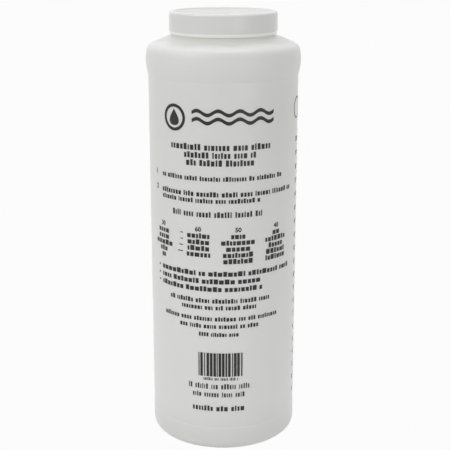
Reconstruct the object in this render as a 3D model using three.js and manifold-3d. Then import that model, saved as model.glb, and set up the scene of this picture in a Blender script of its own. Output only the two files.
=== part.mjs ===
// A round, translucent plastic mixing bottle with a wide screw cap and a sealing disc.
// Millimetres, +Z up. The origin is on the floor, on the axis of the bottle.
// The printed front of the bottle faces -Y.

import * as THREE from 'three';
import { mergeVertices } from 'three/addons/utils/BufferGeometryUtils.js';
import Module from 'manifold-3d';

// Bottle body
const panelRadius = 42.6;        // recessed label panel
const panelHeight = 201;         // length of the label panel
const wall = 1.2;                // wall of the blown body
const footHeight = 14;           // floor to the lower end of the label panel
const footProud = 0.15;          // foot band over the label panel
const footStep = 0.6;            // height of the small slope from foot band to panel
const heelRadius = 5;            // rounding from the side wall to the foot
const footWidth = 4;             // flat ring that the bottle stands on
const baseRise = 3.5;            // push-up of the base at its centre

// Shoulder
const beadProud = 1.35;          // shoulder bead over the label panel
const stepHeight = 1.4;          // soft step from the panel out to the bead
const beadCurve = 26;            // barrel radius of the bead's section
const beadBelow = 6.9;           // bead, from its widest level down to the step
const beadAbove = 5.7;           // bead, from its widest level up to the corner
const cornerRadius = 4.5;        // rounding from the bead to the shoulder
const shoulderSlope = 25;        // slope of the shoulder at the corner, in degrees
const shoulderCurve = 130;       // radius of the shoulder's gently domed section

// Neck
const neckRadius = 27.3;         // outside of the neck, without its thread
const neckHeight = 9.75;         // shoulder to rim
const neckWall = 1.9;            // wall of the neck
const neckFillet = 1;            // rounding from shoulder to neck
const rimEdge = 0.5;             // rounding of the rim's two edges

// Pinch-off ridge across the base, where the mould closed
const pinchLength = 46;
const pinchWidth = 1.2;
const pinchHeight = 0.6;

// Cap
const threadDepth = 1.2;         // room for the thread on the neck
const threadClearance = 0.45;    // neck thread to the bore of the cap
const skirtWall = 1.6;           // wall of the cap's skirt, where it is thickest
const capPlate = 1.5;            // top plate of the cap
const capDraft = 0.15;           // the skirt is this much slimmer at its top
const capEdge = 1.3;             // rounding between skirt and top
const capHeight = 12.4;          // whole height of the cap
const bevelHeight = 1.9;         // bevelled band round the skirt's lower end
const bevelDepth = 0.4;          // the band slopes in by this much
const bevelEdge = 0.3;           // rounding of the band's lower edge
const topRecess = 0.35;          // sunk disc in the top of the cap
const topRim = 2.2;              // cap's top edge left standing round the sunk disc
const innerFillet = 0.6;         // rounding inside, between plate and skirt

// Sealing disc
const linerThickness = 1;
const linerClearance = 0.4;      // edge of the disc to the bore of the cap
const linerEdge = 0.25;          // bevel of the disc's edges
const sealGap = 0.3;             // rim to disc, and disc to cap plate

// Fineness of the round shapes
const sides = 64;                // faces round the axis
const cornerSteps = 6;           // steps along a tight rounding
const gentleSteps = 3;           // steps along a long, gentle curve
const edgeSteps = 2;             // steps along a small rounded edge

const bottleColour = 0xd9dbd3;
const capColour = 0xf1f1ee;
const linerColour = 0xf7f7f5;

const wasm = await Module();
wasm.setup();

const radians = THREE.MathUtils.degToRad;

// Turns a closed three.js geometry into a solid that can be joined and cut.
function solid(geometry) {
  const bare = geometry.clone();
  bare.deleteAttribute('normal');
  bare.deleteAttribute('uv');
  const merged = mergeVertices(bare);
  const index = merged.index.array;
  const faces = [];
  // A revolved outline that meets the axis gives faces without area there. They are left out.
  for (let i = 0; i < index.length; i += 3) {
    const [a, b, c] = [index[i], index[i + 1], index[i + 2]];
    if (a !== b && b !== c && c !== a) {
      faces.push(a, b, c);
    }
  }
  return new wasm.Manifold(new wasm.Mesh({
    numProp: 3,
    vertProperties: new Float32Array(merged.attributes.position.array),
    triVerts: new Uint32Array(faces),
  }));
}

// Turns a solid back into a three.js geometry.
function geometryOf(body) {
  const mesh = body.getMesh();
  const geometry = new THREE.BufferGeometry();
  geometry.setAttribute('position', new THREE.BufferAttribute(new Float32Array(mesh.vertProperties), 3));
  geometry.setIndex(new THREE.BufferAttribute(new Uint32Array(mesh.triVerts), 1));
  geometry.computeVertexNormals();
  return geometry;
}

// Revolves an outline of (radius, height) points round +Z.
function revolve(points) {
  return new THREE.LatheGeometry(points, sides).rotateX(Math.PI / 2);
}

const point = (radius, height) => new THREE.Vector2(radius, height);

// Points along a circular arc, both ends included. It runs from one angle to the other.
function arc(centre, radius, from, to, steps) {
  return new THREE.EllipseCurve(centre.x, centre.y, radius, radius, from, to, to < from).getPoints(steps);
}

// Moves an outline to its left by one distance, as the inner skin of an even wall.
function inset(points, distance) {
  const normals = [];
  for (let i = 0; i + 1 < points.length; i += 1) {
    const along = points[i + 1].clone().sub(points[i]).normalize();
    normals.push(new THREE.Vector2(-along.y, along.x));
  }
  return points.map((start, i) => {
    const before = normals[Math.max(i - 1, 0)];
    const after = normals[Math.min(i, normals.length - 1)];
    const between = before.clone().add(after).normalize();
    const moved = between.multiplyScalar(distance / between.dot(before)).add(start);
    return start.x === 0 ? point(0, moved.y) : moved;
  });
}

// Heights and radii that follow from the sizes above
const footRadius = panelRadius + footProud;
const footOuter = footRadius - heelRadius;
const footInner = footOuter - footWidth;
const panelTop = footHeight + panelHeight;
const beadRadius = panelRadius + beadProud;
const beadCentre = point(beadRadius - beadCurve, panelTop + stepHeight + beadBelow);
const beadFrom = -Math.asin(beadBelow / beadCurve);
const beadTo = Math.asin(beadAbove / beadCurve);
const along = (centre, angle, distance) => point(
  centre.x + distance * Math.cos(angle),
  centre.y + distance * Math.sin(angle),
);
const beadStart = along(beadCentre, beadFrom, beadCurve);
const cornerCentre = along(beadCentre, beadTo, beadCurve - cornerRadius);
const cornerTo = Math.PI / 2 - radians(shoulderSlope);
const domeCentre = along(cornerCentre, cornerTo, cornerRadius - shoulderCurve);
const domeHeight = (radius) => (
  domeCentre.y + Math.sqrt(shoulderCurve ** 2 - (radius - domeCentre.x) ** 2)
);
const filletFrom = neckRadius + neckFillet;
const domeTo = Math.acos((filletFrom - domeCentre.x) / shoulderCurve);
const neckBase = domeHeight(filletFrom);
const rimHeight = neckBase + neckHeight;
const boreOfNeck = neckRadius - neckWall;
const boreOfCap = neckRadius + threadDepth + threadClearance;
const linerBottom = rimHeight + sealGap;
const plateBottom = linerBottom + linerThickness + sealGap;
const capTop = plateBottom + capPlate;
const capBottom = capTop - capHeight;

// Bottle: the outer skin, from the middle of the base to the foot of the neck
const domeOfBase = (footInner ** 2 + baseRise ** 2) / (2 * baseRise);
const baseCentre = point(0, baseRise - domeOfBase);
const baseEdge = Math.acos(footInner / domeOfBase);
const panelToBead = new THREE.CubicBezierCurve(
  point(panelRadius, panelTop),
  point(panelRadius, panelTop + stepHeight / 2),
  along(beadStart, beadFrom + Math.PI / 2, -stepHeight / 2),
  beadStart,
);
const outerSkin = [
  ...arc(baseCentre, domeOfBase, Math.PI / 2, baseEdge, gentleSteps),
  ...arc(point(footOuter, heelRadius), heelRadius, -Math.PI / 2, 0, cornerSteps),
  point(footRadius, footHeight),
  point(panelRadius, footHeight + footStep),
  ...panelToBead.getPoints(gentleSteps),
  ...arc(beadCentre, beadCurve, beadFrom, beadTo, gentleSteps).slice(1),
  ...arc(cornerCentre, cornerRadius, beadTo, cornerTo, cornerSteps).slice(1),
  ...arc(domeCentre, shoulderCurve, cornerTo, domeTo, gentleSteps).slice(1),
];
outerSkin[0].x = 0;
const innerSkin = inset(outerSkin, wall).reverse();

// Bottle: the neck, from its foot over the rim and down its bore
const neckSkin = [
  ...arc(point(filletFrom, neckBase + neckFillet), neckFillet, -Math.PI / 2, -Math.PI, edgeSteps).slice(1),
  ...arc(point(neckRadius - rimEdge, rimHeight - rimEdge), rimEdge, 0, Math.PI / 2, edgeSteps),
  ...arc(point(boreOfNeck + rimEdge, rimHeight - rimEdge), rimEdge, Math.PI / 2, Math.PI, edgeSteps),
  point(boreOfNeck, domeHeight(boreOfNeck) - wall),
];
const bottleShell = solid(revolve([...outerSkin, ...neckSkin, ...innerSkin]));

// Pinch-off ridge: a thin upright plate, kept only where it follows the underside of the base
const pinchPlate = new THREE.BoxGeometry(pinchLength, pinchWidth, 2 * domeOfBase);
const followBase = (offset) => {
  const radius = domeOfBase + offset;
  const reach = Math.acos(pinchLength / radius);
  const points = arc(baseCentre, radius, Math.PI / 2, reach, cornerSteps);
  points[0].x = 0;
  return points;
};
const pinchBand = solid(revolve([...followBase(-pinchHeight), ...followBase(wall / 2).reverse()]));
const bottleBody = bottleShell.add(solid(pinchPlate).intersect(pinchBand));

// Cap: from the middle of its ceiling down the bore, round the outside and over the top
const skirtRadius = boreOfCap + skirtWall;
const bevelRadius = skirtRadius - bevelDepth;
const topRadius = skirtRadius - capDraft;
const recessRadius = topRadius - topRim;
const ceilingEdge = point(boreOfCap - innerFillet, plateBottom - innerFillet);
const capOutline = [
  point(0, plateBottom),
  ...arc(ceilingEdge, innerFillet, Math.PI / 2, 0, edgeSteps),
  point(boreOfCap, capBottom),
  ...arc(point(bevelRadius - bevelEdge, capBottom + bevelEdge), bevelEdge, -Math.PI / 2, 0, edgeSteps),
  point(skirtRadius, capBottom + bevelHeight),
  ...arc(point(topRadius - capEdge, capTop - capEdge), capEdge, 0, Math.PI / 2, cornerSteps),
  point(recessRadius, capTop),
  point(recessRadius - topRecess, capTop - topRecess),
  point(0, capTop - topRecess),
];
const capBody = solid(revolve(capOutline));

// Sealing disc, loose between the rim and the cap's plate
const linerRadius = boreOfCap - linerClearance;
const linerOutline = [
  point(0, 0),
  point(linerRadius - linerEdge, 0),
  point(linerRadius, linerEdge),
  point(linerRadius, linerThickness - linerEdge),
  point(linerRadius - linerEdge, linerThickness),
  point(0, linerThickness),
];
const linerBody = solid(revolve(linerOutline));

function part(name, body, colour, roughness) {
  const material = new THREE.MeshStandardMaterial({ color: colour, roughness, metalness: 0 });
  const mesh = new THREE.Mesh(geometryOf(body), material);
  mesh.name = name;
  return mesh;
}

const bottle = part('bottle', bottleBody, bottleColour, 0.45);
const cap = part('cap', capBody, capColour, 0.4);
const liner = part('cap_liner', linerBody, linerColour, 0.8);
liner.position.z = linerBottom;

const mixingBottle = new THREE.Group();
mixingBottle.add(bottle, cap, liner);

export default mixingBottle;
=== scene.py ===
# %% [markdown]
# # A translucent mixing bottle with a screw cap
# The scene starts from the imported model, which gives the true sizes and the moving bodies.
# The bottle and the cap are then made finer than the model, with smooth rounds, threads and ink.
# All lengths are in millimetres and are turned into metres where a mesh is made.
# Heights are measured from the foot of the bottle, and radii from its axis.

import math
import random

import bmesh
import bpy
from mathutils import Matrix, Vector


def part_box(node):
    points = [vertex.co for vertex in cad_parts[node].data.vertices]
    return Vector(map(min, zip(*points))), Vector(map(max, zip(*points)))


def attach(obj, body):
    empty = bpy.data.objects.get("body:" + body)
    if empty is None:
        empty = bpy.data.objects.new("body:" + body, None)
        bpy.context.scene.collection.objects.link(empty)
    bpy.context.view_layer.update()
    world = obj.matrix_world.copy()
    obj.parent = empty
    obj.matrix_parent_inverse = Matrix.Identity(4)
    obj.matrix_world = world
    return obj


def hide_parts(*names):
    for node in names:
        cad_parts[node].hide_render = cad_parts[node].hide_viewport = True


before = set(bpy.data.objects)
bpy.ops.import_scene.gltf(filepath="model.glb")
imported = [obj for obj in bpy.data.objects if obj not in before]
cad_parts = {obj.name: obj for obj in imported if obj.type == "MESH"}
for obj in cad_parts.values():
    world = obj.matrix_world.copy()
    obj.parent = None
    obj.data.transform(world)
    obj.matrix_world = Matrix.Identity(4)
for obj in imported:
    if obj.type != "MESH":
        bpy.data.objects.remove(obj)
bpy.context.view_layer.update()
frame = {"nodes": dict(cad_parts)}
collection = bpy.context.scene.collection
MM = 0.001
print("solids in the frame:", ", ".join(frame["nodes"]))

# %% [markdown]
# ## Camera
# The camera comes first. Its distance, height and lens were worked out from the curves of the
# cap, the rim and the base: the rounder such a curve looks, the steeper the camera looks down.

# %% Camera
LOOK_DOWN = math.radians(15.69)
CAMERA_ROLL = math.radians(-0.09)
camera_data = bpy.data.cameras.new("camera")
camera_data.sensor_width = 36.0
camera_data.lens = 82.6
camera_data.clip_start = 0.05
camera_data.clip_end = 20.0
camera = bpy.data.objects.new("camera", camera_data)
camera.location = (0.0, -0.5889, 0.2907)
camera.rotation_euler = (math.pi / 2 - LOOK_DOWN, 0.0, CAMERA_ROLL)
collection.objects.link(camera)
bpy.context.scene.camera = camera
print("camera distance in metres:", round(camera.location.length, 3))

# %% [markdown]
# ## Colours and nodes
# A colour is written as a web colour, and Blender wants it as linear light.
# One helper adds a node with its settings and links, so that a material reads as a list of steps.
# A pattern's size is written in millimetres, and a noise node wants its inverse in metres.

# %% Colours and nodes
def linear(code):
    """Turns a web colour such as #D9DBD3 into linear red, green, blue and alpha."""
    values = [int(code[i:i + 2], 16) / 255 for i in (1, 3, 5)]
    return [v / 12.92 if v <= 0.04045 else ((v + 0.055) / 1.055) ** 2.4 for v in values] + [1.0]


def add_node(tree, kind, settings=None, inputs=None):
    """Adds a node. An input is a plain value, or another node's output socket to link from."""
    node = tree.nodes.new(kind)
    for name, value in (settings or {}).items():
        setattr(node, name, value)
    for name, value in (inputs or {}).items():
        if isinstance(value, bpy.types.NodeSocket):
            tree.links.new(value, node.inputs[name])
        else:
            node.inputs[name].default_value = value
    return node


def new_material(name):
    """Makes a material with one Principled shader, and gives back its node tree and shader."""
    material = bpy.data.materials.new(name)
    material.use_nodes = True
    tree = material.node_tree
    tree.nodes.clear()
    shader = add_node(tree, "ShaderNodeBsdfPrincipled")
    add_node(tree, "ShaderNodeOutputMaterial", inputs={"Surface": shader.outputs["BSDF"]})
    return material, tree, shader


def pattern_scale(size):
    """The scale of a noise whose lumps are about this many millimetres across."""
    return 1 / (size * MM)


print("web grey #808080 as linear light:", round(linear("#808080")[0], 3))

# %% [markdown]
# ## Painted light and shade that change with height
# A pale, milky wall takes up light from what is near it, and that light is painted into its colour.
# The lower half of the bottle is painted whiter, as painted light from the white table that comes
# through, and a little darker at the heel. Its upper half is painted greyer. A narrow painted
# highlight lies on the shoulder, and painted shade lies where the shoulder turns into the neck.
# A colour ramp that runs up the object gives that, and it looks the same from every side.

# %% Painted light and shade that change with height
def painted_light_by_height(tree, height, tints):
    """A colour ramp of painted light and shade that runs up the object. Each tint has its height in
    millimetres.
    """
    lowest = tints[0][0]
    highest = tints[-1][0]
    share = add_node(
        tree, "ShaderNodeMapRange",
        inputs={"Value": height, "From Min": lowest * MM, "From Max": highest * MM},
    )
    ramp = add_node(tree, "ShaderNodeValToRGB", inputs={"Fac": share.outputs["Result"]})
    stops = ramp.color_ramp.elements
    for level, code in tints[1:-1]:
        stops.new((level - lowest) / (highest - lowest)).color = linear(code)
    stops[0].color = linear(tints[0][1])
    stops[-1].color = linear(tints[-1][1])
    return ramp.outputs["Color"]


# %% [markdown]
# ## Skin of a blown wall
# The bottle was blown as a hot tube inside a mould. The skin of such a wall is faintly uneven, and
# the parting line of the mould runs up both sides, at +X and -X. Real dents would need a very
# fine mesh, so both are one bump, which only tilts the light. The unevenness is drawn coarser than
# it is, because the real one is too fine to show in the picture.

# %% Skin of a blown wall
SKIN_SIZE = 1.1
SKIN_SHARE = 0.35
PARTING_HALF_WIDTH = 0.25
PARTING_HEIGHT = 0.06


def blown_skin(tree, place, across):
    """A fine unevenness with a ridge where the coordinate across the mould is near zero."""
    skin = add_node(
        tree, "ShaderNodeTexNoise",
        inputs={
            "Vector": place.outputs["Object"], "Scale": pattern_scale(SKIN_SIZE), "Detail": 2.0,
        },
    )
    off_plane = add_node(tree, "ShaderNodeMath", {"operation": "ABSOLUTE"}, {0: across})
    parting = add_node(
        tree, "ShaderNodeMapRange", {"interpolation_type": "SMOOTHSTEP"},
        {
            "Value": off_plane.outputs["Value"],
            "From Max": PARTING_HALF_WIDTH * MM, "To Min": 1.0, "To Max": 0.0,
        },
    )
    relief = add_node(
        tree, "ShaderNodeMath", {"operation": "MULTIPLY_ADD"},
        {0: skin.outputs["Fac"], 1: SKIN_SHARE, 2: parting.outputs["Result"]},
    )
    return add_node(
        tree, "ShaderNodeBump",
        inputs={
            "Height": relief.outputs["Value"], "Strength": 0.25, "Distance": PARTING_HEIGHT * MM,
        },
    )


print("parting line, in millimetres:", 2 * PARTING_HALF_WIDTH, "wide")

# %% [markdown]
# ## Blown polyethylene
# The bottle is natural high-density polyethylene. It is milky: light goes in, scatters and comes
# out again a little way off, so its shades are soft. Subsurface scattering gives that. The tints
# drift a little with a cloud of noise, as the wall does where it was blown thicker or thinner.
# The bare neck lets the light of the studio through from behind: it gets a very faint glow.

# %% Blown polyethylene
# Painted light and shade up the bottle: whiter low down, darker at the heel, a painted highlight on
# the shoulder and painted shade at the foot of the neck.
BOTTLE_PAINTED_LIGHT_AND_SHADE = (
    (0.0, "#EEEEEA"),
    (12.0, "#F2F2EE"),
    (30.0, "#FCFCF8"),
    (70.0, "#FBFBF7"),
    (200.0, "#EDEDE9"),
    (226.0, "#F0F0EC"),
    (231.0, "#F1F1EE"),
    (234.6, "#F7F7F5"),
    (235.5, "#FFFFFD"),
    (236.4, "#F6F6F3"),
    (237.2, "#ECECE9"),
)
CLOUD_SIZE = 22.0
CLOUD_DRIFT = 6.0
NECK_GLOW = 0.06
NECK_GLOW_FROM = 236.1
NECK_GLOW_FULL = 237.3


def blown_polyethylene():
    material, tree, shader = new_material("blown_natural_polyethylene")
    place = add_node(tree, "ShaderNodeTexCoord")
    split = add_node(tree, "ShaderNodeSeparateXYZ", inputs={"Vector": place.outputs["Object"]})
    cloud = add_node(
        tree, "ShaderNodeTexNoise",
        inputs={
            "Vector": place.outputs["Object"], "Scale": pattern_scale(CLOUD_SIZE), "Detail": 3.0,
        },
    )
    cloudy_height = add_node(
        tree, "ShaderNodeMath", {"operation": "MULTIPLY_ADD"},
        {0: cloud.outputs["Fac"], 1: CLOUD_DRIFT * MM, 2: split.outputs["Z"]},
    )
    neck_glow = add_node(
        tree, "ShaderNodeMapRange",
        inputs={
            "Value": split.outputs["Z"], "From Min": NECK_GLOW_FROM * MM,
            "From Max": NECK_GLOW_FULL * MM, "To Max": NECK_GLOW,
        },
    )
    # The base colour carries the painted light and shade of the ramp.
    colour = painted_light_by_height(tree, cloudy_height.outputs["Value"], BOTTLE_PAINTED_LIGHT_AND_SHADE)
    skin = blown_skin(tree, place, split.outputs["Y"])
    tree.links.new(colour, shader.inputs["Base Color"])
    tree.links.new(skin.outputs["Normal"], shader.inputs["Normal"])
    tree.links.new(neck_glow.outputs["Result"], shader.inputs["Emission Strength"])
    shader.inputs["Emission Color"].default_value = linear("#FFFFF6")
    shader.inputs["Roughness"].default_value = 0.34
    shader.inputs["IOR"].default_value = 1.5
    shader.inputs["Subsurface Weight"].default_value = 0.5
    shader.inputs["Subsurface Radius"].default_value = (1.0, 1.0, 0.9)
    shader.inputs["Subsurface Scale"].default_value = 2 * MM
    return material


polyethylene = blown_polyethylene()
print("bottle tints:", len(BOTTLE_PAINTED_LIGHT_AND_SHADE))

# %% [markdown]
# ## Moulded polypropylene and foam
# The cap is white polypropylene, injection-moulded, with a very fine even grain and a satin
# shine. The sealing disc is foamed polyethylene: matt, with small cells. The real grain is too fine
# to show in the picture, so it is drawn coarser, as a low bump that softens the shine.
# One function makes both, because only their numbers differ.

# %% Moulded polypropylene and foam
def fine_plastic(name, code, roughness, grain, scatter):
    material, tree, shader = new_material(name)
    place = add_node(tree, "ShaderNodeTexCoord")
    noise = add_node(
        tree, "ShaderNodeTexNoise",
        inputs={
            "Vector": place.outputs["Object"], "Scale": pattern_scale(grain), "Detail": 2.0,
        },
    )
    bump = add_node(
        tree, "ShaderNodeBump",
        inputs={"Height": noise.outputs["Fac"], "Strength": 0.15, "Distance": 0.03 * MM},
    )
    tree.links.new(bump.outputs["Normal"], shader.inputs["Normal"])
    shader.inputs["Base Color"].default_value = linear(code)
    shader.inputs["Roughness"].default_value = roughness
    shader.inputs["IOR"].default_value = 1.49
    shader.inputs["Subsurface Weight"].default_value = scatter
    shader.inputs["Subsurface Radius"].default_value = (1.0, 1.0, 1.0)
    shader.inputs["Subsurface Scale"].default_value = 1.5 * MM
    return material


CAP_WHITE = "#E7E7E6"
CAP_GRAIN = 0.8
FOAM_CELL = 0.4
polypropylene = fine_plastic("moulded_white_polypropylene", CAP_WHITE, 0.26, CAP_GRAIN, 0.2)
foam = fine_plastic("foamed_polyethylene", "#F4F4F1", 0.8, FOAM_CELL, 0.3)
print("fine plastics:", polypropylene.name, foam.name)

# %% [markdown]
# ## Screen-printing ink
# The print was pressed through a fine mesh, and dries to a thin satin film.
# The marks of that mesh are a shine that changes a little from place to place. They too are drawn
# coarser than they are, so that they show.

# %% Screen-printing ink
SCREEN_MARK = 0.67


def printing_ink():
    material, tree, shader = new_material("screen_printed_black_ink")
    place = add_node(tree, "ShaderNodeTexCoord")
    marks = add_node(
        tree, "ShaderNodeTexNoise",
        inputs={
            "Vector": place.outputs["Object"], "Scale": pattern_scale(SCREEN_MARK), "Detail": 1.0,
        },
    )
    shine = add_node(
        tree, "ShaderNodeMapRange",
        inputs={"Value": marks.outputs["Fac"], "To Min": 0.35, "To Max": 0.5},
    )
    tree.links.new(shine.outputs["Result"], shader.inputs["Roughness"])
    shader.inputs["Base Color"].default_value = linear("#101010")
    return material


ink = printing_ink()
print("marks of the printing mesh, in millimetres:", SCREEN_MARK)

# %% [markdown]
# ## From a bmesh to an object
# Every piece is drawn in a bmesh and then becomes an object. Its faces are shaded smooth,
# and only the edges that are really sharp are marked as sharp.

# %% From a bmesh to an object
SAME_PLACE = 1e-7


def new_object(name, tool, material, sharp_angle=35.0):
    bmesh.ops.remove_doubles(tool, verts=tool.verts, dist=SAME_PLACE)
    for face in tool.faces:
        face.smooth = True
    for edge in tool.edges:
        if edge.is_manifold and edge.calc_face_angle(0.0) > math.radians(sharp_angle):
            edge.smooth = False
    mesh = bpy.data.meshes.new(name)
    tool.to_mesh(mesh)
    tool.free()
    mesh.materials.append(material)
    item = bpy.data.objects.new(name, mesh)
    collection.objects.link(item)
    print(name, "has", len(mesh.polygons), "faces")
    return item


print("points nearer than this many metres become one:", SAME_PLACE)

# %% [markdown]
# ## Outlines that are spun
# Bottle and cap are round, so half of their section is drawn once and spun round the axis.
# An outline is a list of (radius, height) points. Arcs give its rounds, and the inner skin of a
# wall is the outer skin moved inwards by the wall's thickness.

# %% Outlines that are spun
SPIN_STEPS = 160


def arc(centre, radius, start, end, steps):
    """Points on a circular arc. The angles are in radians."""
    turns = [start + (end - start) * i / steps for i in range(steps + 1)]
    return [
        (centre[0] + radius * math.cos(turn), centre[1] + radius * math.sin(turn))
        for turn in turns
    ]


def soft_step(start, end, steps):
    """A soft S from one point up to another, upright at both ends."""
    made = []
    for i in range(steps + 1):
        t = i / steps
        eased = t * t * (3 - 2 * t)
        made.append((start[0] + (end[0] - start[0]) * eased, start[1] + (end[1] - start[1]) * t))
    return made


def inset(outline, distance):
    """Moves an outline to its left, as the inner skin of an even wall."""
    moved = []
    for i, (r, z) in enumerate(outline):
        before = outline[max(i - 1, 0)]
        after = outline[min(i + 1, len(outline) - 1)]
        along = Vector((after[0] - before[0], after[1] - before[1])).normalized()
        moved.append((max(r - along.y * distance, 0.0), z + along.x * distance))
    return moved


def revolve(outline):
    """Spins an outline round the axis into a closed shell. Its ends lie on the axis."""
    tool = bmesh.new()
    points = [tool.verts.new((r * MM, 0.0, z * MM)) for r, z in outline]
    edges = [tool.edges.new(pair) for pair in zip(points, points[1:])]
    bmesh.ops.spin(
        tool,
        geom=points + edges,
        cent=(0.0, 0.0, 0.0),
        axis=(0.0, 0.0, 1.0),
        angle=2 * math.pi,
        steps=SPIN_STEPS,
        use_merge=True,
    )
    bmesh.ops.remove_doubles(tool, verts=tool.verts, dist=SAME_PLACE)
    bmesh.ops.dissolve_degenerate(tool, dist=SAME_PLACE, edges=tool.edges)
    bmesh.ops.recalc_face_normals(tool, faces=tool.faces)
    return tool


print("one step of a full spin, in degrees:", 360 / SPIN_STEPS)

# %% [markdown]
# ## Foot and label panel
# The base is pushed up in the middle, so that the bottle stands on a ring. A rounded heel and a
# low foot band lead into the label panel, which is sunk by a hair so that its print isn't rubbed.

# %% Foot and label panel
PANEL_RADIUS = 42.6
PANEL_BOTTOM = 14.6
PANEL_TOP = 215.0
PANEL_MARGIN = 1.0
FOOT_RADIUS = 42.75
FOOT_BAND_TOP = 14.0
HEEL_RADIUS = 5.0
FOOT_FLAT = 4.0
BASE_RISE = 3.5

foot_outer = FOOT_RADIUS - HEEL_RADIUS
foot_inner = foot_outer - FOOT_FLAT
push_up = (foot_inner ** 2 + BASE_RISE ** 2) / (2 * BASE_RISE)
outer = arc(
    (0.0, BASE_RISE - push_up), push_up, math.pi / 2, math.acos(foot_inner / push_up), 10,
)
outer[0] = (0.0, BASE_RISE)
outer += arc((foot_outer, HEEL_RADIUS), HEEL_RADIUS, -math.pi / 2, 0.0, 14)
outer += soft_step((FOOT_RADIUS, FOOT_BAND_TOP), (PANEL_RADIUS, PANEL_BOTTOM), 4)
outer += soft_step(
    (PANEL_RADIUS, PANEL_BOTTOM + PANEL_MARGIN), (PANEL_RADIUS, PANEL_TOP - PANEL_MARGIN), 24,
)
print("push-up of the base is part of a ball of radius", round(push_up, 1))

# %% [markdown]
# ## Bead and shoulder
# A barrel-shaped bead stands proud above the panel and takes the knocks. A tight corner leads
# from it into a gently domed shoulder. Each arc starts where the one before it ends, in the same
# direction, so its centre is worked out and not typed in.

# %% Bead and shoulder
BEAD_RADIUS = 43.9
BEAD_CURVE = 26.0
BEAD_LEVEL = 223.3
BEAD_BOTTOM = 216.4
BEAD_TOP = 229.0
CORNER_RADIUS = 4.5
SHOULDER_SLOPE = math.radians(25)
SHOULDER_CURVE = 130.0
NECK_RADIUS = 27.3
NECK_FILLET = 1.0

bead_centre = (BEAD_RADIUS - BEAD_CURVE, BEAD_LEVEL)
bead_from = math.asin((BEAD_BOTTOM - BEAD_LEVEL) / BEAD_CURVE)
bead_to = math.asin((BEAD_TOP - BEAD_LEVEL) / BEAD_CURVE)
bead = arc(bead_centre, BEAD_CURVE, bead_from, bead_to, 14)

corner_reach = BEAD_CURVE - CORNER_RADIUS
corner_centre = (
    bead_centre[0] + corner_reach * math.cos(bead_to),
    bead_centre[1] + corner_reach * math.sin(bead_to),
)
corner_to = math.pi / 2 - SHOULDER_SLOPE
corner = arc(corner_centre, CORNER_RADIUS, bead_to, corner_to, 12)

dome_reach = SHOULDER_CURVE - CORNER_RADIUS
dome_centre = (
    corner_centre[0] - dome_reach * math.cos(corner_to),
    corner_centre[1] - dome_reach * math.sin(corner_to),
)
dome_to = math.acos((NECK_RADIUS + NECK_FILLET - dome_centre[0]) / SHOULDER_CURVE)
dome = arc(dome_centre, SHOULDER_CURVE, corner_to, dome_to, 8)

outer += soft_step((PANEL_RADIUS, PANEL_TOP), bead[0], 6)
outer += bead[1:] + corner[1:] + dome[1:]
print("the shoulder meets the neck at height", round(outer[-1][1], 1))

# %% [markdown]
# ## Neck and wall
# The neck is thicker than the wall, because its threads carry the cap. The outline goes up its
# outside, over the rounded rim and down inside, and comes back along the inner skin.

# %% Neck and wall
WALL = 1.2
NECK_WALL = 1.9
RIM_EDGE = 0.5
BORE_RUN_OUT = 0.4
rim_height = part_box("bottle")[1].z / MM

neck_base = outer[-1][1]
bore = NECK_RADIUS - NECK_WALL
neck = arc(
    (NECK_RADIUS + NECK_FILLET, neck_base + NECK_FILLET), NECK_FILLET, -math.pi / 2, -math.pi, 6,
)
neck += arc((NECK_RADIUS - RIM_EDGE, rim_height - RIM_EDGE), RIM_EDGE, 0.0, math.pi / 2, 5)
neck += arc((bore + RIM_EDGE, rim_height - RIM_EDGE), RIM_EDGE, math.pi / 2, math.pi, 5)
neck += [(bore, neck_base - BORE_RUN_OUT)]
inner = list(reversed(inset(outer, WALL)))
inner[-1] = (0.0, BASE_RISE + WALL)

bottle = new_object("bottle_shell", revolve(outer + neck + inner), polyethylene)
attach(bottle, "bottle")
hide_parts("bottle")

# %% [markdown]
# ## Ends of a thread
# A thread is a ridge that climbs one pitch in each turn and fades out at both ends. Spin makes
# it in one go, because it can move the section up a little at each step. Its ends are then
# lowered, point by point. The ridges of the neck and of the cap share one pitch, so they stay
# meshed as the cap turns.

# %% Ends of a thread
THREAD_DEPTH = 1.2
THREAD_PITCH = 4.233
THREAD_TURNS = 1.15
THREAD_STEPS = 110
FADE_STEPS = 10
CREST_AT_END = 0.04
AT_WALL = 0.5


def fade_ends(tool, wall_radius, start):
    """Lowers the crest towards both ends of the ridge. Points at the wall stay in place."""
    for vert in tool.verts:
        reach = vert.co.xy.length
        if abs(reach - wall_radius * MM) < AT_WALL * MM:
            continue
        by_angle = math.atan2(vert.co.y, vert.co.x) / (2 * math.pi)
        by_height = (vert.co.z / MM - start) / THREAD_PITCH
        turn = by_angle + round(by_height - by_angle)
        from_end = min(turn, THREAD_TURNS - turn) * THREAD_STEPS / THREAD_TURNS / FADE_STEPS
        share = max(0.0, min(1.0, from_end))
        eased = share * share * (3 - 2 * share)
        height = CREST_AT_END + (1 - CREST_AT_END) * eased
        faded = wall_radius * MM + (reach - wall_radius * MM) * height
        vert.co.xy *= faded / reach


fade_angle = 360 * THREAD_TURNS * FADE_STEPS / THREAD_STEPS
print("each end of a thread fades over", round(fade_angle), "degrees")

# %% [markdown]
# ## Threads on the neck and in the cap
# The section of a ridge is six points. Its root reaches a little into the wall, so that no gap
# shows there. The thread in the cap starts lower, and lies in the groove of the one on the neck.

# %% Threads on the neck and in the cap
THREAD_SUNK = 0.3
CREST_WIDTH = 0.8
NECK_THREAD_ROOT = 2.3
NECK_THREAD_DROP = 6.6
CAP_THREAD_ROOT = 2.1
CAP_THREAD_DROP = 1.5
CAP_BORE = 28.95


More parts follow.
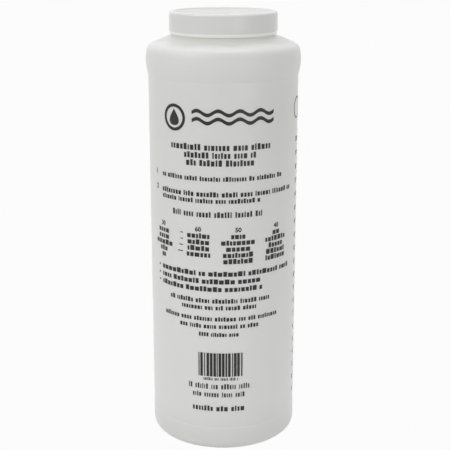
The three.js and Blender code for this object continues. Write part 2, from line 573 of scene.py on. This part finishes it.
def thread(name, wall_radius, crest_radius, root_width, start, coat):
    """A right-handed ridge that starts on the +X side and at the height given."""
    tool = bmesh.new()
    sunk = math.copysign(THREAD_SUNK, wall_radius - crest_radius)
    section = (
        (wall_radius + sunk, -root_width / 2),
        (wall_radius, -root_width / 2),
        (crest_radius, -CREST_WIDTH / 2),
        (crest_radius, CREST_WIDTH / 2),
        (wall_radius, root_width / 2),
        (wall_radius + sunk, root_width / 2),
    )
    corners = [tool.verts.new((r * MM, 0.0, (start + up) * MM)) for r, up in section]
    sides = [tool.edges.new(pair) for pair in zip(corners, corners[1:] + corners[:1])]
    bmesh.ops.spin(
        tool,
        geom=corners + sides,
        cent=(0.0, 0.0, 0.0),
        axis=(0.0, 0.0, 1.0),
        dvec=(0.0, 0.0, THREAD_PITCH * THREAD_TURNS / THREAD_STEPS * MM),
        angle=2 * math.pi * THREAD_TURNS,
        steps=THREAD_STEPS,
    )
    bmesh.ops.holes_fill(tool, edges=[edge for edge in tool.edges if edge.is_boundary])
    fade_ends(tool, wall_radius, start)
    bmesh.ops.recalc_face_normals(tool, faces=tool.faces)
    return new_object(name, tool, coat, 50.0)


neck_thread_start = rim_height - NECK_THREAD_DROP
cap_thread_start = neck_thread_start - CAP_THREAD_DROP
neck_thread = thread(
    "neck_thread", NECK_RADIUS, NECK_RADIUS + THREAD_DEPTH,
    NECK_THREAD_ROOT, neck_thread_start, polyethylene,
)
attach(neck_thread, "bottle")

cap_thread = thread(
    "cap_thread", CAP_BORE, CAP_BORE - THREAD_DEPTH,
    CAP_THREAD_ROOT, cap_thread_start, polypropylene,
)
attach(cap_thread, "cap")

# %% [markdown]
# ## Cap
# The cap is moulded. A bevelled band runs round its lower edge, its top edge is rounded, and
# the disc of its top is sunk by a hair. Its skirt is a little wider at the foot than at the top,
# so that it comes out of the mould.

# %% Cap
CAP_SKIRT_RADIUS = 30.55
CAP_BEVEL_RADIUS = 30.15
CAP_TOP_RADIUS = 30.4
CAP_EDGE = 1.3
CAP_FOOT_EDGE = 0.3
CAP_CORNER_FILLET = 0.6
CAP_BEVEL_HEIGHT = 1.9
CAP_RECESS = 0.35
CAP_TOP_RIM = 2.2
RECESS_EDGE = 0.2
SEAL_GAP = 0.3
cap_bottom, cap_top = (corner.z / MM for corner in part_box("cap"))
plate_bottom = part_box("cap_liner")[1].z / MM + SEAL_GAP

recess_radius = CAP_TOP_RADIUS - CAP_TOP_RIM
cap_outline = [(0.0, plate_bottom)]
cap_outline += arc(
    (CAP_BORE - CAP_CORNER_FILLET, plate_bottom - CAP_CORNER_FILLET),
    CAP_CORNER_FILLET, math.pi / 2, 0.0, 5,
)
cap_outline += [(CAP_BORE, cap_bottom)]
cap_outline += arc(
    (CAP_BEVEL_RADIUS - CAP_FOOT_EDGE, cap_bottom + CAP_FOOT_EDGE),
    CAP_FOOT_EDGE, -math.pi / 2, 0.0, 5,
)
cap_outline += [(CAP_SKIRT_RADIUS, cap_bottom + CAP_BEVEL_HEIGHT)]
cap_outline += arc(
    (CAP_TOP_RADIUS - CAP_EDGE, cap_top - CAP_EDGE), CAP_EDGE, 0.0, math.pi / 2, 12,
)
cap_outline += arc(
    (recess_radius, cap_top - RECESS_EDGE), RECESS_EDGE, math.pi / 2, math.pi, 3,
)
cap_outline += [
    (recess_radius - 2 * RECESS_EDGE, cap_top - CAP_RECESS), (0.0, cap_top - CAP_RECESS),
]
cap = new_object("cap_shell", revolve(cap_outline), polypropylene, 40.0)
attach(cap, "cap")
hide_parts("cap")

# %% [markdown]
# ## Painted light on the cap's edges
# The cap's lower bevel is painted whiter, as painted light that comes through the thin edge and
# bounces up from the shoulder. Its rounded top edge and its top rim are painted whiter as a painted
# highlight. The sunk disc of the top lies at one height, and keeps the skirt's own white.

# %% Painted light on the cap's edges
# Painted highlight on the rounded top edge and on the rim.
EDGE_PAINTED_HIGHLIGHT = "#F8F8F8"
RIM_PAINTED_HIGHLIGHT = "#FCFCFC"
disc_level = cap_top - CAP_RECESS
CAP_PAINTED_LIGHT = (
    # Painted light on the lower bevel, then the skirt's own white.
    (cap_bottom + 1.5, "#FDFDFA"),
    (cap_bottom + CAP_BEVEL_HEIGHT, CAP_WHITE),
    (cap_top - CAP_EDGE, CAP_WHITE),
    (cap_top - CAP_EDGE + 0.5, EDGE_PAINTED_HIGHLIGHT),
    (disc_level - 0.15, EDGE_PAINTED_HIGHLIGHT),
    (disc_level - 0.05, CAP_WHITE),
    (disc_level + 0.05, CAP_WHITE),
    (disc_level + 0.15, RIM_PAINTED_HIGHLIGHT),
    (cap_top, RIM_PAINTED_HIGHLIGHT),
)
cap_tree = polypropylene.node_tree
cap_shader = cap_tree.nodes["Principled BSDF"]
cap_place = add_node(cap_tree, "ShaderNodeTexCoord")
cap_split = add_node(
    cap_tree, "ShaderNodeSeparateXYZ", inputs={"Vector": cap_place.outputs["Object"]},
)
# The cap's base colour carries the painted light and painted highlights.
cap_painted_light = painted_light_by_height(cap_tree, cap_split.outputs["Z"], CAP_PAINTED_LIGHT)
cap_tree.links.new(cap_painted_light, cap_shader.inputs["Base Color"])
print("cap height:", round(cap_top - cap_bottom, 2))

# %% [markdown]
# ## Light inside the cap
# Light comes through the skirt to the inside of the cap too, so that the narrow gap below it
# isn't black. A faint glow stands for this. It is there where a point is as near the axis as the
# bore, and it fades out towards the plate of the cap.

# %% Light inside the cap
BORE_GLOW = 0.3
BORE_GLOW_HEIGHT = 8.0
BORE_GLOW_DEPTH = 0.3

cap_level = add_node(
    cap_tree, "ShaderNodeCombineXYZ",
    inputs={"X": cap_split.outputs["X"], "Y": cap_split.outputs["Y"]},
)
reach = add_node(
    cap_tree, "ShaderNodeVectorMath", {"operation": "LENGTH"}, {0: cap_level.outputs["Vector"]},
)
in_bore = add_node(
    cap_tree, "ShaderNodeMapRange",
    inputs={
        "Value": reach.outputs["Value"], "From Min": CAP_BORE * MM,
        "From Max": (CAP_BORE + BORE_GLOW_DEPTH) * MM, "To Min": 1.0, "To Max": 0.0,
    },
)
low_down = add_node(
    cap_tree, "ShaderNodeMapRange",
    inputs={
        "Value": cap_split.outputs["Z"], "From Min": cap_bottom * MM,
        "From Max": (cap_bottom + BORE_GLOW_HEIGHT) * MM, "To Min": BORE_GLOW, "To Max": 0.0,
    },
)
glow = add_node(
    cap_tree, "ShaderNodeMath", {"operation": "MULTIPLY"},
    {0: in_bore.outputs["Result"], 1: low_down.outputs["Result"]},
)
cap_tree.links.new(glow.outputs["Value"], cap_shader.inputs["Emission Strength"])
cap_shader.inputs["Emission Color"].default_value = linear("#FFFFF0")
print("strongest glow in the bore:", BORE_GLOW)

# %% [markdown]
# ## Sealing disc
# The disc in the cap is a plain cut piece of foam. The model's own shape is right, so it stays
# and only gets its material.

# %% Sealing disc
liner = frame["nodes"]["cap_liner"]
liner.data.materials.clear()
liner.data.materials.append(foam)
print(liner.name, "is made of", foam.name)

# %% [markdown]
# ## Drawing flat
# Print is drawn flat, in millimetres, as if the label were unrolled on a table: x runs along the
# wall from the middle of the front, and y is the height. Each mark starts from a grid or from a
# spun edge. Wide marks are cut into strips, because they are bent round the bottle later.

# %% Drawing flat
STRIP = 1.5
RING_STEPS = 36
WAVE_STEPS = 96
WAVE_COUNT = 4


def bar(flat, left, right, low, high):
    """An upright block."""
    place = Matrix.Translation(((left + right) / 2, (low + high) / 2, 0.0))
    size = Matrix.Diagonal(((right - left) / 2, (high - low) / 2, 1.0, 1.0))
    strips = max(1, math.ceil((right - left) / STRIP))
    bmesh.ops.create_grid(flat, x_segments=strips, y_segments=1, size=1.0, matrix=place @ size)


def ring(flat, across, height, radius, width):
    """A ring: a short edge that is spun round the middle of the ring."""
    ends = [flat.verts.new((across + r, height, 0.0)) for r in (radius - width, radius)]
    bmesh.ops.spin(
        flat,
        geom=ends + [flat.edges.new(ends)],
        cent=(across, height, 0.0),
        axis=(0.0, 0.0, 1.0),
        angle=2 * math.pi,
        steps=RING_STEPS,
        use_merge=True,
    )


def wave(flat, left, right, height, swing, width):
    """A wavy line with an even width."""
    place = Matrix.Translation(((left + right) / 2, height, 0.0))
    size = Matrix.Diagonal(((right - left) / 2, width / 2, 1.0, 1.0))
    made = bmesh.ops.create_grid(
        flat, x_segments=WAVE_STEPS, y_segments=1, size=1.0, matrix=place @ size,
    )
    for vert in made["verts"]:
        share = (vert.co.x - left) / (right - left)
        vert.co.y += swing * math.sin(share * WAVE_COUNT * 2 * math.pi)


print("a mark is cut where it is wider than this many millimetres:", STRIP)

# %% [markdown]
# ## A drop
# The drop starts as a square grid. The half-width of each of its rows is worked out from the row's
# height, so the square is drawn in to a point on top and rounded below. Its two ends keep a hair
# of width, so that no face there loses its area.

# %% A drop
DROP_POINT = 1.5
DROP_END = 0.01


def drop(flat, across, height, size):
    """A falling drop, twice as high as the size given."""
    made = bmesh.ops.create_grid(flat, x_segments=8, y_segments=24, size=1.0)
    for vert in made["verts"]:
        turn = math.pi * (1 - vert.co.y) / 2
        half = size * math.sin(turn) * math.sin(turn / 2) ** DROP_POINT + DROP_END
        vert.co.x = across + half * vert.co.x
        vert.co.y = height + size * math.cos(turn)


print("sharpness of the drop's point:", DROP_POINT)

# %% [markdown]
# ## Rows of print
# Words are drawn as rows of small blocks of uneven width, so that they read as print from a step
# away but say nothing. The blocks are then fitted to the length of the row, which is given by its
# left and right ends and by its low and high edges.
# The seed is fixed, so that the rows come out the same each time.

# %% Rows of print
random.seed(12)
NARROW_BLOCK = 0.3
WIDE_BLOCK = 0.8
TALL_SHARE = 0.3
LOW_BLOCK = 0.82
BLOCK_SPACE = 0.2
WORD_SPACE = 0.45


def row_of_words(flat, left, right, low, high, weight=0.7, longest=9):
    """Blocks without letters, with a wider space after each word. More weight is more ink."""
    size = high - low
    length = right - left
    blocks = []
    x = 0.0
    while x < length:
        for _ in range(random.randint(longest // 4, longest)):
            width = size * weight * random.uniform(NARROW_BLOCK, WIDE_BLOCK)
            blocks.append((x, x + width, random.random() < TALL_SHARE))
            x += width + BLOCK_SPACE * size
            if x > length:
                break
        x += WORD_SPACE * size
    fit = length / blocks[-1][1]
    for start, end, tall in blocks:
        top = high if tall else low + LOW_BLOCK * size
        bar(flat, left + start * fit, left + end * fit, low, top)


print("share of tall blocks:", TALL_SHARE)

# %% [markdown]
# ## Plain digits
# Numbers are plain digits in Blender's own typeface, made a little bolder. A text is a curve, so
# it becomes a mesh before it is put in its place, and the curve is thrown away.

# %% Plain digits
DIGIT_BOLD = 0.03


def digits(flat, text, across, height, size):
    """Adds digits to the flat drawing, centred on the place given."""
    curve = bpy.data.curves.new("digits", "FONT")
    curve.body = text
    curve.size = size
    curve.align_x = "CENTER"
    curve.align_y = "CENTER"
    curve.resolution_u = 3
    curve.offset = DIGIT_BOLD * size
    writing = bpy.data.objects.new("digits", curve)
    collection.objects.link(writing)
    bpy.context.view_layer.update()
    depsgraph = bpy.context.evaluated_depsgraph_get()
    mesh = bpy.data.meshes.new_from_object(writing.evaluated_get(depsgraph))
    mesh.transform(Matrix.Translation((across, height, 0.0)))
    flat.from_mesh(mesh)
    bpy.data.objects.remove(writing)
    bpy.data.curves.remove(curve)
    bpy.data.meshes.remove(mesh)


print("digits are bolder by this share of their size:", DIGIT_BOLD)

# %% [markdown]
# ## From flat print to ink on the wall
# The flat drawing becomes a film with a true thickness, and its points are then rolled round the
# label panel. The film starts a little inside the wall, so that it can't stand off it.

# %% From flat print to ink on the wall
INK_SUNK = 0.02
INK_LIFT = 0.05


def ink_on_panel(name, flat):
    raised = bmesh.ops.extrude_face_region(flat, geom=list(flat.faces))["geom"]
    lifted = [part for part in raised if isinstance(part, bmesh.types.BMVert)]
    bmesh.ops.translate(flat, verts=flat.verts, vec=(0.0, 0.0, -INK_SUNK))
    bmesh.ops.translate(flat, verts=lifted, vec=(0.0, 0.0, INK_SUNK + INK_LIFT))
    bmesh.ops.recalc_face_normals(flat, faces=flat.faces)
    for vert in flat.verts:
        turn = vert.co.x / PANEL_RADIUS
        radius = PANEL_RADIUS + vert.co.z
        vert.co = Vector((radius * math.sin(turn), -radius * math.cos(turn), vert.co.y)) * MM
    item = new_object(name, flat, ink)
    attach(item, "bottle")


print("the ink stands proud by this many millimetres:", INK_LIFT)

# %% [markdown]
# ## Marks and headings
# The top of the label holds a plain drop in a ring beside two waves, and three heading rows.
# Two numbered rows and a title follow.

# %% Marks and headings
MARK_MIDDLE = -29.0
MARK_HEIGHT = 195.5
WAVES_LEFT = -17.6
WAVES_RIGHT = 29.6
WAVE_HEIGHTS = (199.0, 194.6)
DIGIT_SIZE = 3.8
HEADINGS = (
    (-31.3, 27.3, 178.6, 182.0),
    (-22.4, 18.2, 174.3, 177.6),
    (-21.2, 17.1, 170.0, 173.4),
)

front = bmesh.new()
ring(front, MARK_MIDDLE, MARK_HEIGHT, 7.4, 1.7)
drop(front, MARK_MIDDLE, MARK_HEIGHT + 0.2, 4.6)
for height in WAVE_HEIGHTS:
    wave(front, WAVES_LEFT, WAVES_RIGHT, height, 1.2, 2.0)
for left, right, low, high in HEADINGS:
    row_of_words(front, left, right, low, high, weight=0.75)
digits(front, "1", -45.2, 163.2, DIGIT_SIZE)
row_of_words(front, -39.0, 36.3, 161.6, 164.2, weight=0.75)
digits(front, "2", -44.6, 154.6, DIGIT_SIZE)
row_of_words(front, -39.2, 45.1, 152.8, 155.6, weight=0.75)
row_of_words(front, -39.2, 21.0, 149.2, 151.8, weight=0.75)
row_of_words(front, -30.6, 22.4, 141.2, 144.4, weight=0.6)
print("faces in the flat drawing so far:", len(front.faces))

# %% [markdown]
# ## Table
# Four columns of short words stand under plain numbers, with dashes after the first column.
# Each column has its number, its middle and the half-widths of its words, from the top down.

# %% Table
TABLE_TOP = 134.0
TABLE_STEP = 3.6
TABLE_WORD_HEIGHT = 2.9
TABLE_DIGIT_SIZE = 3.6
COLUMNS = (
    ("30", -39.0, (4.6, 4.6, 7.4, 3.2, 1.6)),
    ("60", -14.4, (6.6, 6.4, 6.4, 7.0)),
    ("50", 8.3, (4.0, 9.6, 6.8, 8.6, 8.4)),
    ("40", 32.6, (2.6, 7.8, 5.4, 7.2, 7.6)),
)
DASH_STARTS = (-25.6, -25.6, -26.4, -27.4)
DASH_END = -23.8
DASH_HEIGHT = 0.5

for text, middle, halves in COLUMNS:
    digits(front, text, middle, TABLE_TOP, TABLE_DIGIT_SIZE)
    for i, half in enumerate(halves):
        low = TABLE_TOP - TABLE_STEP * (i + 1) - TABLE_WORD_HEIGHT / 2
        row_of_words(
            front, middle - half, middle + half, low, low + TABLE_WORD_HEIGHT,
            weight=1.2, longest=40,
        )
for i, left in enumerate(DASH_STARTS):
    height = TABLE_TOP - TABLE_STEP * (i + 0.75)
    bar(front, left, DASH_END, height - DASH_HEIGHT / 2, height + DASH_HEIGHT / 2)
print("table columns:", len(COLUMNS))

# %% [markdown]
# ## Notes and lower rows
# Three notes with a small dot before each, four centred rows and a small one.

# %% Notes and lower rows
NOTE_DOT = -43.6
NOTE_LEFT = -40.4
NOTE_RIGHTS = (44.1, 21.5, 22.9)
NOTE_TOP = 107.2
NOTE_STEP = 4.5
NOTE_HEIGHT = 2.9
CENTRED_ROWS = (
    (-33.3, 27.9, 91.3, 94.0),
    (-25.0, 19.1, 87.3, 89.9),
    (-38.1, 33.7, 80.6, 83.2),
    (-26.4, 20.5, 76.1, 78.7),
)

for i, right in enumerate(NOTE_RIGHTS):
    low = NOTE_TOP - NOTE_STEP * i
    ring(front, NOTE_DOT, low + NOTE_HEIGHT / 2, 0.6, 0.55)
    row_of_words(front, NOTE_LEFT, right, low, low + NOTE_HEIGHT, weight=1.15)
for left, right, low, high in CENTRED_ROWS:
    row_of_words(front, left, right, low, high, weight=0.75)
row_of_words(front, -14.2, 8.6, 71.3, 73.7, weight=0.8)
print("notes:", len(NOTE_RIGHTS), "centred rows:", len(CENTRED_ROWS))

# %% [markdown]
# ## Bars and last rows
# A block of upright bars of random widths encodes nothing. Small print stands below it, and three
# rows end the label.

# %% Bars and last rows
BARS_LEFT = -14.6
BARS_RIGHT = 11.0
BARS_LOW = 46.8
BARS_HIGH = 61.2
THINNEST_BAR = 0.2
BAR_WIDTHS = (0.6, 1.0, 1.5)
BAR_GAPS = (0.4, 0.5, 0.8)

x = BARS_LEFT
while x < BARS_RIGHT - THINNEST_BAR:
    width = random.choice(BAR_WIDTHS)
    bar(front, x, min(x + width, BARS_RIGHT), BARS_LOW, BARS_HIGH)
    x += width + random.choice(BAR_GAPS)
row_of_words(front, -11.6, 8.4, 44.4, 46.2, weight=0.5, longest=12)
row_of_words(front, -20.8, 15.2, 39.0, 42.2, weight=0.45)
row_of_words(front, -18.2, 12.2, 34.0, 37.0, weight=0.45)
row_of_words(front, -18.3, 12.1, 25.2, 28.4, weight=0.85)
ink_on_panel("front_print", front)

# %% [markdown]
# ## Scale on the far side
# Twenty even lines show how full the bottle is. Only their ends show from the front.
# Each has its number, a long line and a shorter one half-way to the next. A ring and a word stand
# above them.

# %% Scale on the far side
SCALE_COUNT = 20
SCALE_LOW = 25.0
SCALE_STEP = 8.12
SCALE_LEFT = 53.6
SCALE_DIGITS = SCALE_LEFT + 3.0
LINE_LEFT = SCALE_LEFT + 8.0
LONG_LINE = 8.0
SHORT_LINE = 4.0
LONG_HALF_HEIGHT = 0.3
SHORT_HALF_HEIGHT = 0.2

scale = bmesh.new()
for i in range(SCALE_COUNT):
    height = SCALE_LOW + SCALE_STEP * i
    digits(scale, str(i + 1), SCALE_DIGITS, height, DIGIT_SIZE)
    bar(
        scale, LINE_LEFT, LINE_LEFT + LONG_LINE,
        height - LONG_HALF_HEIGHT, height + LONG_HALF_HEIGHT,
    )
    half_way = height + SCALE_STEP / 2
    bar(
        scale, LINE_LEFT, LINE_LEFT + SHORT_LINE,
        half_way - SHORT_HALF_HEIGHT, half_way + SHORT_HALF_HEIGHT,
    )
ring(scale, SCALE_DIGITS, 197.4, 6.2, 0.7)
row_of_words(scale, SCALE_LEFT + 12.0, SCALE_LEFT + 26.0, 195.8, 199.0)
ink_on_panel("scale_print", scale)

# %% [markdown]
# ## Floor and backdrop
# The picture has a plain white ground. The floor is pale for the light that falls on it, so that
# it bounces softly, and plain white for the camera and for reflections. It lies a little below the
# foot of the bottle, so that the two faces never lie in one plane.

# %% Floor and backdrop
GROUND_WHITE = "#FCFCFC"
FLOOR_HALF_SIDE = 1.5
FLOOR_DROP = 0.5


def straight_rays(tree):
    """1 for rays that come from the camera or from a reflection, else 0."""
    path = add_node(tree, "ShaderNodeLightPath")
    either = add_node(
        tree, "ShaderNodeMath", {"operation": "MAXIMUM"},
        {0: path.outputs["Is Camera Ray"], 1: path.outputs["Is Glossy Ray"]},
    )
    return either.outputs["Value"]


def white_ground():
    material = bpy.data.materials.new("white_paper_ground")
    material.use_nodes = True
    tree = material.node_tree
    tree.nodes.clear()
    paper = add_node(tree, "ShaderNodeBsdfDiffuse", inputs={"Color": linear("#E8E8E8")})
    white = add_node(tree, "ShaderNodeEmission", inputs={"Color": linear(GROUND_WHITE)})
    mix = add_node(
        tree, "ShaderNodeMixShader",
        inputs={0: straight_rays(tree), 1: paper.outputs["BSDF"], 2: white.outputs["Emission"]},
    )
    add_node(tree, "ShaderNodeOutputMaterial", inputs={"Surface": mix.outputs["Shader"]})
    return material


ground = bmesh.new()
bmesh.ops.create_grid(ground, x_segments=1, y_segments=1, size=FLOOR_HALF_SIDE)
bmesh.ops.translate(ground, verts=ground.verts, vec=(0.0, 0.0, -FLOOR_DROP * MM))
floor = new_object("floor", ground, white_ground())

# %% [markdown]
# ## Even light
# The world is an even, weak light, and the camera sees it as the same white as the floor.

# %% Even light
world = bpy.data.worlds.new("studio")
bpy.context.scene.world = world
world.use_nodes = True
sky = world.node_tree
sky.nodes.clear()
even_light = add_node(
    sky, "ShaderNodeBackground", inputs={"Color": linear("#FFFFFF"), "Strength": 0.5},
)
seen_white = add_node(
    sky, "ShaderNodeBackground", inputs={"Color": linear(GROUND_WHITE), "Strength": 1.0},
)
sky_mix = add_node(
    sky, "ShaderNodeMixShader",
    inputs={
        0: straight_rays(sky), 1: even_light.outputs["Background"],
        2: seen_white.outputs["Background"],
    },
)
add_node(sky, "ShaderNodeOutputWorld", inputs={"Surface": sky_mix.outputs["Shader"]})
print("strength of the even light:", even_light.inputs["Strength"].default_value)

# %% [markdown]
# ## Area lights
# Large area lights give soft shades. The strongest stands at the upper left, as in the picture,
# and a low one lightens the foot of the bottle as a white table would.
# Each has its place in metres, its side in metres and its power in watts.

# %% Area lights
MIDDLE_OF_BOTTLE = Vector((0.0, 0.0, 0.13))
LIGHTS = (
    ("key_light", (-0.9, -0.7, 0.9), 0.8, 3.9),
    ("fill_light", (0.9, -0.8, 0.5), 0.9, 0.4),
    ("low_light", (0.5, -0.8, 0.06), 0.4, 0.8),
    ("top_light", (0.0, 0.3, 1.2), 0.6, 2.5),
)


def soft_light(name, place, size, power):
    """A square area light that points at the middle of the bottle."""
    data = bpy.data.lights.new(name, "AREA")
    data.shape = "SQUARE"
    data.size = size
    data.energy = power
    lamp = bpy.data.objects.new(name, data)
    lamp.location = place
    aim = MIDDLE_OF_BOTTLE - Vector(place)
    lamp.rotation_euler = aim.to_track_quat("-Z", "Y").to_euler()
    collection.objects.link(lamp)
    print(name, "gives", power, "watts")


for name, place, size, power in LIGHTS:
    soft_light(name, place, size, power)
bpy.context.scene.view_settings.view_transform = "Standard"
